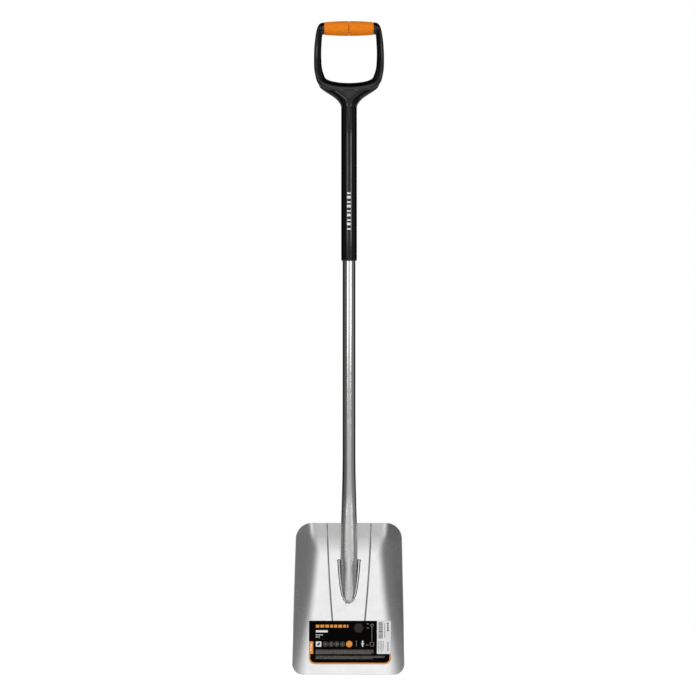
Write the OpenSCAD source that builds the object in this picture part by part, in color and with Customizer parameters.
// Square-mouth shovel for snow and loose material, upright: blade lip at z = 0, D-grip at the top.
// X runs along the grip, Y runs from the open face of the blade (-Y) to its back (+Y), Z runs up the shaft.
// Built in millimetres with the shaft's axis on y = 0, then moved so the overall box is centred on X and Y.

/* [Blade] */
// width across the side edges just above the lip
blade_w = 241.8; // [200:1:300]
// how much narrower each side edge is per millimetre of height
blade_taper = 0.024; // [0:0.001:0.08]
// height of the blade from the lip to its top edge, as seen from the front
blade_h = 320.5; // [250:0.5:400]
// sheet thickness
blade_t = 1.8; // [1.2:0.1:3]
// angle the blade floor leans forward of the shaft
lift_deg = 17; // [8:1:30]
// corner radius at the shoulders
shoulder_r = 32; // [10:1:60]
// corner radius at the lip
lip_r = 24; // [5:1:40]
// half width of the flat floor at the lip
floor_half_w = 83.5; // [60:0.1:110]
// how much the half width of the flat floor shrinks per millimetre of height
floor_taper = 0.1033; // [0:0.001:0.2]
// width of the curve between the floor and each side wall
side_curve = 40; // [10:1:50]
// slope of the side walls at the lip
side_deg_lip = 20; // [5:1:40]
// slope of the side walls near the shoulders
side_deg_top = 38; // [15:1:60]
// height where the floor starts to curve up into the rear wall
rear_start = 250; // [200:1:300]
// height taken by the curve into the rear wall
rear_curve = 45; // [20:1:60]
// slope of the rear wall against the floor
rear_deg = 14; // [5:1:30]
// depth of the pressed centre panel
panel_depth = 2; // [0.5:0.1:4]
// half width of the centre panel at the top edge
panel_half_top = 47.3; // [35:0.1:60]
// half width of the centre panel at its lower end
panel_half_low = 29.4; // [20:0.1:45]

/* [Shaft] */
// outside diameter of the steel tube
tube_d = 28; // [22:0.5:34]
// wall of the steel tube
tube_wall = 1.8; // [1:0.1:3]
// top end of the tube, inside the handle's neck
tube_top = 1244; // [1150:1:1300]
// height of the slight bend above the blade
bend_z = 345; // [325:1:400]
// angle of that bend
bend_deg = 5; // [0:0.5:12]
// height where the formed end of the tube lands on the floor
land_z = 254; // [230:1:280]
// height of the tip of the formed end
tip_z = 151; // [120:1:200]

/* [Handle] */
// top of the grip, which is the height of the whole shovel
overall_h = 1400; // [1100:10:1600]
// outside diameter of the plastic sleeve on the shaft
sleeve_d = 34; // [28:0.2:40]
// lower end of the sleeve
sleeve_low = 884; // [600:1:1100]
// seam between the sleeve and the handle frame
seam_z = 1214; // [1100:1:1260]
// length of the soft grip
grip_len = 106.6; // [80:0.2:140]
// diameter of the grip at its middle
grip_d_mid = 32; // [26:0.5:40]
// diameter of the grip at its ends
grip_d_end = 27.2; // [22:0.2:36]
// diameter of the bar inside the grip
core_d = 21; // [14:0.5:24]

/* [Label] */
// width of the printed card
card_w = 175.4; // [120:0.2:200]
// height of the printed card, as seen from the front
card_h = 91; // [60:0.5:120]
// lower edge of the card, as seen from the front
card_low = 22.3; // [10:0.1:60]
// width of the white sticker on the card
sticker_w = 30; // [15:0.5:50]
// height of the white sticker, as seen from the front
sticker_h = 69.6; // [40:0.2:90]

/* [Hidden] */
$fn = 96;
eps = 0.05;
fit_gap = 0.1;
floor_k = tan(lift_deg);
bend_k = tan(bend_deg);
tube_r = tube_d / 2;
land_half_d = 9;
land_y = -bend_k * (bend_z - land_z) + land_half_d;
lip_y = land_y - panel_depth - floor_k * land_z;
shift_y = 31.78;
panel_fade_low = 84;
panel_fade_high = 110;
card_x = 3.2;
card_t = 0.4;
sticker_t = 0.2;
step_w = 3.6;
grip_z = overall_h - grip_d_mid / 2;
rivet_z = 1231;
tube_sides = 48;
rivet_d = 4.8;

// ---------- small helpers ----------
function clamp01(t) = min(1, max(0, t));
function ease(t) = let (c = clamp01(t)) c * c * (3 - 2 * c);
function mix(a, b, t) = a + (b - a) * t;
function rows_to(a, b, n) = [for (i = [0:n - 1]) mix(a, b, i / n)];

// piecewise straight value through [[key, value], ...] with rising keys
function along(table, k) =
  let (n = len(table))
  k <= table[0][0] ? table[0][1] :
  k >= table[n - 1][0] ? table[n - 1][1] :
  let (i = [for (j = [0:n - 2]) if (k >= table[j][0] && k < table[j + 1][0]) j][0])
  let (a = table[i], b = table[i + 1])
  mix(a[1], b[1], (k - a[0]) / (b[0] - a[0]));

// smooth curve through a list of points, t from 0 to 1
function spline(p, t) =
  let (n = len(p) - 1)
  let (s = min(clamp01(t) * n, n - 0.00001))
  let (i = floor(s))
  let (f = s - i)
  let (a = p[max(0, i - 1)], b = p[i], c = p[i + 1], d = p[min(n, i + 2)])
  0.5 * ((2 * b) + (c - a) * f + (2 * a - 5 * b + 4 * c - d) * f * f
    + (3 * b - a - 3 * c + d) * f * f * f);

// closed solid through rings that each have the same number of points
module skin(rings, looped = false) {
  n = len(rings[0]);
  m = len(rings);
  last = looped ? m - 1 : m - 2;
  pts = [for (r = rings) each r];
  sides = [
    for (i = [0:last]) for (j = [0:n - 1])
      let (a = i * n + j, b = i * n + (j + 1) % n)
      let (c = ((i + 1) % m) * n + (j + 1) % n, d = ((i + 1) % m) * n + j)
      each [[a, c, b], [a, d, c]]
  ];
  low_cap = [for (j = [0:n - 1]) j];
  high_cap = [for (j = [n - 1:-1:0]) (m - 1) * n + j];
  polyhedron(pts, looped ? sides : concat(sides, [low_cap, high_cap]), convexity = 6);
}

// thin plate through rows that run along the front and back again along the rear
module plate(rings) {
  n = len(rings[0]);
  h = n / 2;
  m = len(rings);
  pts = [for (r = rings) each r];
  sides = [
    for (i = [0:m - 2]) for (j = [0:n - 1])
      let (a = i * n + j, b = i * n + (j + 1) % n)
      let (c = b + n, d = a + n)
      each [[a, c, b], [a, d, c]]
  ];
  low = [for (i = [0:h - 2]) each [[i, i + 1, n - 2 - i], [i, n - 2 - i, n - 1 - i]]];
  high = [for (t = low) [for (k = [2:-1:0]) (m - 1) * n + t[k]]];
  polyhedron(pts, concat(sides, low, high), convexity = 6);
}

// ---------- blade surface ----------
function wall_rise(d, run, deg) =
  let (r = run / sin(deg))
  d <= 0 ? 0 : d < run ? r - sqrt(r * r - d * d) : r * (1 - cos(deg)) + (d - run) * tan(deg);

function side_rise(x, z) =
  wall_rise(abs(x) - (floor_half_w - floor_taper * z), side_curve,
    mix(side_deg_lip, side_deg_top, ease(z / 200)));

function rear_rise(z) = wall_rise(z - rear_start, rear_curve, rear_deg);

function panel_half(z) =
  z > 262 ? mix(45.2, panel_half_top, (z - 262) / (blade_h - 262)) :
  let (t = (z - 60) / 202) mix(panel_half_low, 45.2, t) + 6 * t * (1 - t);

function panel_drop(x, z) =
  panel_depth * ease((panel_half(z) + step_w / 2 - abs(x)) / step_w)
    * ease((z - panel_fade_low) / (panel_fade_high - panel_fade_low));

// y of the open face of the blade
function face_y(x, z) =
  let (a = side_rise(x, z), b = rear_rise(z))
  lip_y + floor_k * z - sqrt(a * a + b * b) + panel_drop(x, z);

function face_k(x, z) =
  let (dx = (face_y(x + 0.5, z) - face_y(x - 0.5, z)), dz = face_y(x, z + 0.5) - face_y(x, z - 0.5))
  sqrt(1 + min(1.5, dx * dx) + dz * dz);

function edge_half(z) =
  let (straight = blade_w / 2 - blade_taper * z)
  z < lip_r ? straight - lip_r + sqrt(lip_r * lip_r - pow(lip_r - z, 2)) :
  z > blade_h - shoulder_r
    ? straight - shoulder_r + sqrt(max(0, shoulder_r * shoulder_r - pow(z - blade_h + shoulder_r, 2))) :
  straight;

// columns follow the two pressed lines, so the step stays crisp
function column(u, z) =
  let (s = u < 0 ? -1 : 1, q = abs(u), p = panel_half(z), w = edge_half(z))
  s * (q <= 8 ? (p - step_w / 2) * q / 8 :
       q <= 10 ? p + (q - 9) * step_w / 2 :
       mix(p + step_w / 2, w, (q - 10) / 14));

blade_rows = concat(
  [for (i = [0:5]) lip_r * (1 - cos(15 * i))],
  [for (i = [0:13]) mix(lip_r, rear_start - 4, i / 14)],
  [for (i = [0:4]) mix(rear_start - 4, blade_h - shoulder_r, i / 5)],
  [for (i = [0:9]) blade_h - shoulder_r + shoulder_r * sin(9 * i)],
  [blade_h]
);

module blade() {
  color("silver")
    plate([
      for (z = blade_rows) concat(
        [for (u = [-24:24]) let (x = column(u, z)) [x, face_y(x, z), z]],
        [for (u = [24:-1:-24]) let (x = column(u, z)) [x, face_y(x, z) + blade_t * face_k(x, z), z]]
      )
    ]);
}

// ---------- steel tube ----------
form_w = [[151, 4.5], [157, 8], [166, 11.5], [181, 14.5], [211, 17], [241, 18], [262, 17.7], [280, 17.3],
  [300, 17.3], [320, 17.1], [335, 16.6], [352, 16.1], [370, 15.7], [387, 15.3], [404, 14.9], [421, 14.5],
  [440, 14.2], [460, 14]];
form_front = [[151, 1.4], [157, 2.6], [166, 4.4], [181, 7.4], [196, 10.2], [211, 12.9], [241, 17.6], [254, 19.5]];

function land_face(z) = lip_y + floor_k * z + panel_depth - eps;
function axis_y(z) = z > bend_z + 25 ? 0 : z < bend_z - 25 ? -bend_k * (bend_z - z) :
  -bend_k * pow(bend_z + 25 - z, 2) / 100;
function half_depth(z) = along([[254, land_half_d], [290, 10], [320, 10.9], [335, 11.6], [352, 12.1], [370, 12.5],
  [387, 12.9], [404, 13.2], [421, 13.6], [440, 13.8], [460, 14]], z);

// the pressed end swells a little towards the open face of the blade
function front_half(z) = z > 352 ? half_depth(z) : along([[254, 10.5], [290, 11], [320, 11.5], [335, 11.8], [352, 12.1]], z);

// one section of the tube: wall is how far inside the outer skin it lies
function tube_ring(z, wall) =
  let (w = along(form_w, z) - wall)
  let (low = z < land_z)
  let (t = ease((land_z - z) / 30))
  let (depth = low ? along(form_front, z) : half_depth(z) + front_half(z))
  let (back = low ? land_face(z) : axis_y(z) + half_depth(z))
  let (mid = back - depth / 2 * (1 - t))
  let (fd = mid - (back - depth) - wall, bd = max(back - mid - wall, 0.02))
  [for (i = [0:tube_sides - 1]) let (a = 360 * i / tube_sides) [w * cos(a), mid - (t > 0.98 ? wall * 0.5 : 0)
    + (sin(a) > 0 ? bd : fd) * sin(a), z]];

tube_rows = concat([tip_z, tip_z + 2, 157, 161, 166, 173, 181, 190, 200, 211, 222, 232, 241, 248, land_z, 258],
  [for (z = [264:8:344]) z], [352, 370, 387, 404, 421, 440, 460, 800, tube_top]);

module shaft_tube() {
  color("silver") difference() {
    skin(concat(
      [for (z = tube_rows) tube_ring(z, 0)],
      [for (i = [len(tube_rows) - 1:-1:0]) let (z = tube_rows[i]) if (z > 168) tube_ring(z, tube_wall)]
    ), looped = true);
    translate([0, 10, rivet_z]) rotate([-90, 0, 0]) cylinder(h = 6, d = rivet_d + fit_gap * 2);
  }
}

// ---------- welds ----------
bead_path = [[-21.8, 243], [-21.2, 232], [-19.9, 214], [-18, 196], [-16, 181], [-12.6, 166], [-7.2, 156],
  [0, 152.6], [7.2, 156], [12.6, 166], [16, 181], [18, 196], [19.9, 214], [21.2, 232], [21.8, 243]];

// half width of the bead: wide where it starts, even along the sides
function bead_half(t) = 2.6 + 1.3 * pow(abs(2 * t - 1), 6) + 0.25 * sin(360 * 22 * t);

function bead_ring(t, k) =
  let (c = spline(bead_path, t), d = spline(bead_path, t + 0.004) - spline(bead_path, t - 0.004))
  let (n = [-d[1], d[0]] / norm(d))
  let (w = bead_half(t) * k, h = 3.1 * k)
  [for (i = [0:11])
    let (a = 30 * i, o = w * cos(a), x = c[0] + n[0] * o, z = c[1] + n[1] * o)
    [x, lip_y + floor_k * z + panel_depth - eps - (sin(a) > 0 ? h * sin(a) : 0), z]];

module bead(t0, t1, n) {
  color("silver")
    skin([for (i = [0:n])
      bead_ring(mix(t0, t1, i / n), i == 0 || i == n ? 0.55 : 1)]);
}

module weld_run_left() {
  bead(0.004, 0.372, 18);
}

module weld_run_right() {
  bead(0.628, 0.996, 18);
}

module weld_toe() {
  bead(0.378, 0.622, 16);
}

// ---------- plastic sleeve on the shaft ----------
module shaft_sleeve() {
  r = sleeve_d / 2;
  h = seam_z - 0.3 - sleeve_low;
  color("black")
    translate([0, 0, sleeve_low]) rotate_extrude()
      polygon([[tube_r + fit_gap, 0], [r - 1.6, 0], [r, 3], [r, h], [tube_r + fit_gap, h]]);
}

// ---------- D-shaped handle frame ----------
// centre line of the right arm and half of the saddle, with its half thickness and half depth
arm_line = [[58.6, 1393.5], [60.8, 1387.5], [62.6, 1380], [64.8, 1368], [66.5, 1350], [67.4, 1332],
  [67.3, 1315], [66.5, 1299], [63.5, 1284.5], [58.3, 1271.2], [46.8, 1263.8], [31, 1259.8], [15, 1257.9], [0, 1257.2]];
arm_size = [[4, 8], [6, 11.5], [6.8, 12.6], [6.9, 11.9], [7.3, 11.2], [7.5, 11], [7.8, 11], [8.2, 11.4],
  [8.9, 12], [9.7, 12.8], [9.7, 13.4], [9.5, 14], [9.4, 14.4], [9.4, 14.6]];

function arm_ring(t) =
  let (c = spline(arm_line, t), d = spline(arm_line, t + 0.01) - spline(arm_line, t - 0.01))
  let (n = [-d[1], d[0]] / norm(d), q = spline(arm_size, t))
  [for (i = [0:19]) let (a = 18 * i)
    [c[0] + n[0] * q[0] * cos(a), -q[1] * sin(a), c[1] + n[1] * q[0] * cos(a)]];

module arm_pair() {
  m = 30;
  skin(concat(
    [for (i = [0:m]) arm_ring(i / m)],
    [for (i = [m - 1:-1:0]) [for (p = arm_ring(i / m)) [-p[0], p[1], p[2]]]]
  ));
}

neck_line = [[0, 17, 17], [5, 18.1, 17], [9.5, 20.1, 17], [15.5, 24.4, 17.1], [21.6, 31.3, 16.9], [28, 41, 16.1],
  [34.4, 51, 15.1], [40.9, 59.5, 13.6], [47, 64.6, 11.5], [51, 66, 9]];

module neck() {
  skin([for (i = [0:24])
    let (q = spline(neck_line, i / 24))
    [for (j = [0:35]) let (a = 10 * j) [q[1] * cos(a), q[2] * sin(a), seam_z + q[0]]]]);
}

module handle_frame() {
  color("black")
    difference() {
      union() {
        arm_pair();
        neck();
        translate([-60, 0, grip_z]) rotate([0, 90, 0]) cylinder(h = 120, d = core_d);
        for (s = [-1, 1])
          translate([s * grip_len / 2, 0, grip_z]) rotate([0, s * 90, 0]) cylinder(h = 7, r = 12.9);
      }
      translate([0, 0, seam_z - 1]) cylinder(h = tube_top - seam_z + 2, r = tube_r + fit_gap);
      translate([0, 12, rivet_z]) rotate([-90, 0, 0]) cylinder(h = 8, d = rivet_d + fit_gap * 2);
      translate([0, 15.4, rivet_z]) rotate([-90, 0, 0]) cylinder(h = 6, d = 10.4);
    }
}

module handle_rivet() {
  color("gray")
    translate([0, 0, rivet_z]) rotate([-90, 0, 0]) {
      translate([0, 0, 10.2]) cylinder(h = 5.6, d = rivet_d);
      translate([0, 0, 15.5]) cylinder(h = 1.1, d1 = 9.6, d2 = 7.4);
    }
}

// ---------- two halves of the soft grip ----------
module grip_half(s) {
  half = grip_len / 2 - 0.2;
  seam = 0.3;
  bore = core_d / 2 + fit_gap;
  n = 8;
  bulge = [for (i = [0:n]) let (t = i / n)
    [mix(grip_d_mid / 2, grip_d_end / 2, t * t), mix(seam + 1.2, half - 1, t)]];
  color("orange")
    translate([0, 0, grip_z]) rotate([0, s * 90, 0]) rotate_extrude()
      polygon(concat([[bore, seam], [grip_d_mid / 2 - 1.3, seam]], bulge, [[grip_d_end / 2 - 1, half], [bore, half]]));
}

module grip_sleeve_left() {
  grip_half(-1);
}

module grip_sleeve_right() {
  grip_half(1);
}

// ---------- label ----------
// the card and its sticker follow the floor, bridging the pressed panel
function card_half(z) =
  let (r = 12.9, w = card_w / 2, d = r - (z - card_low))
  d > 0 ? w - r + sqrt(max(0, r * r - d * d)) : w;

function card_y(x, z, off) = face_y(x, z) - panel_drop(x, z) - off;

card_top = card_low + card_h;
card_rows = concat([for (i = [0:5]) card_low + 12.9 * (1 - cos(15 * i))], rows_to(card_low + 12.9, card_top, 6),
  [card_top]);

module label_card() {
  n = 12;
  color("black")
    plate([
      for (z = card_rows) let (w = card_half(z)) concat(
        [for (i = [0:n]) let (x = card_x + mix(-w, w, i / n)) [x, card_y(x, z, eps + card_t), z]],
        [for (i = [n:-1:0]) let (x = card_x + mix(-w, w, i / n)) [x, card_y(x, z, eps), z]]
      )
    ]);
}

module label_sticker() {
  n = 6;
  x0 = card_x + card_w / 2 - sticker_w;
  color("white")
    plate([
      for (z = rows_to(card_top - sticker_h, card_top + sticker_h / 5, 6)) concat(
        [for (i = [0:n]) let (x = x0 + sticker_w * i / n) [x, card_y(x, z, 2 * eps + card_t + sticker_t), z]],
        [for (i = [n:-1:0]) let (x = x0 + sticker_w * i / n) [x, card_y(x, z, 2 * eps + card_t), z]]
      )
    ]);
}

translate([0, shift_y, 0]) {
  blade();
  shaft_tube();
  weld_run_left();
  weld_run_right();
  weld_toe();
  handle_frame();
  grip_sleeve_left();
  grip_sleeve_right();
  shaft_sleeve();
  handle_rivet();
  label_card();
  label_sticker();
}
